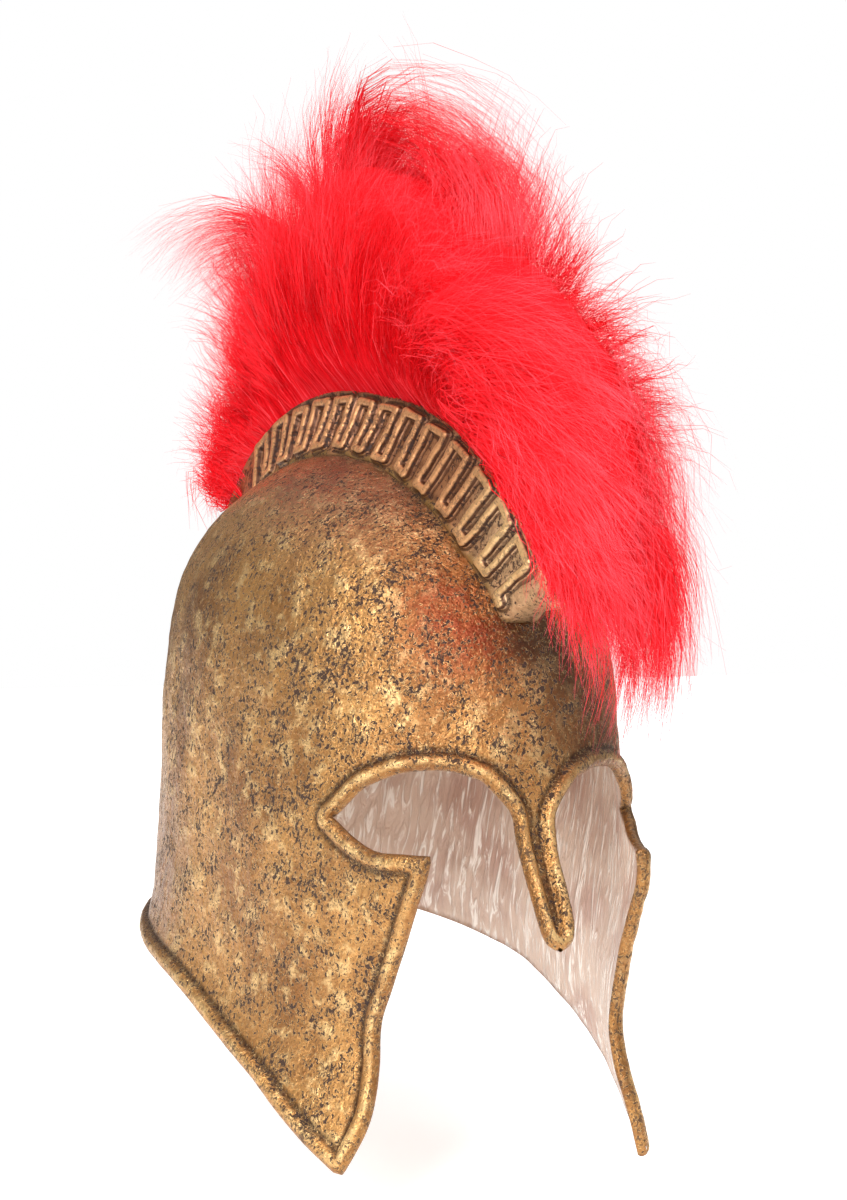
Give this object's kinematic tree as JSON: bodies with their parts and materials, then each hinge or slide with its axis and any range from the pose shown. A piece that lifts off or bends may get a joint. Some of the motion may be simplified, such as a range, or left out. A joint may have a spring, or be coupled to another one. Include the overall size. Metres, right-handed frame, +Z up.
{
  "type": "greek hoplite costume helmet",
  "caption": "Thin latex Greek-style helmet with eye openings, nasal and long cheek guards, an arched crest holder with a raised meander, and a shaggy red fur plume.",
  "frame": {"origin": "head seat: the inside of the crown, on the helmet's middle plane, where it hangs on the top of a head", "axes": "+X to the wearer's left, -Y to the front, +Z up"},
  "size_m": [0.1674, 0.3679, 0.3872],
  "materials": {
    "bronze_latex": "latex painted as aged bronze, pitted and speckled dark brown; bare cream latex inside",
    "gold_latex": "latex painted as aged pale gold with dark wash in its recesses",
    "red_fur": "long-pile faux fur, vivid red with pinkish tips"
  },
  "bodies": {
    "root": {"shell": "bronze_latex", "crest_holder": "gold_latex", "plume": "red_fur"}
  },
  "joints": []
}
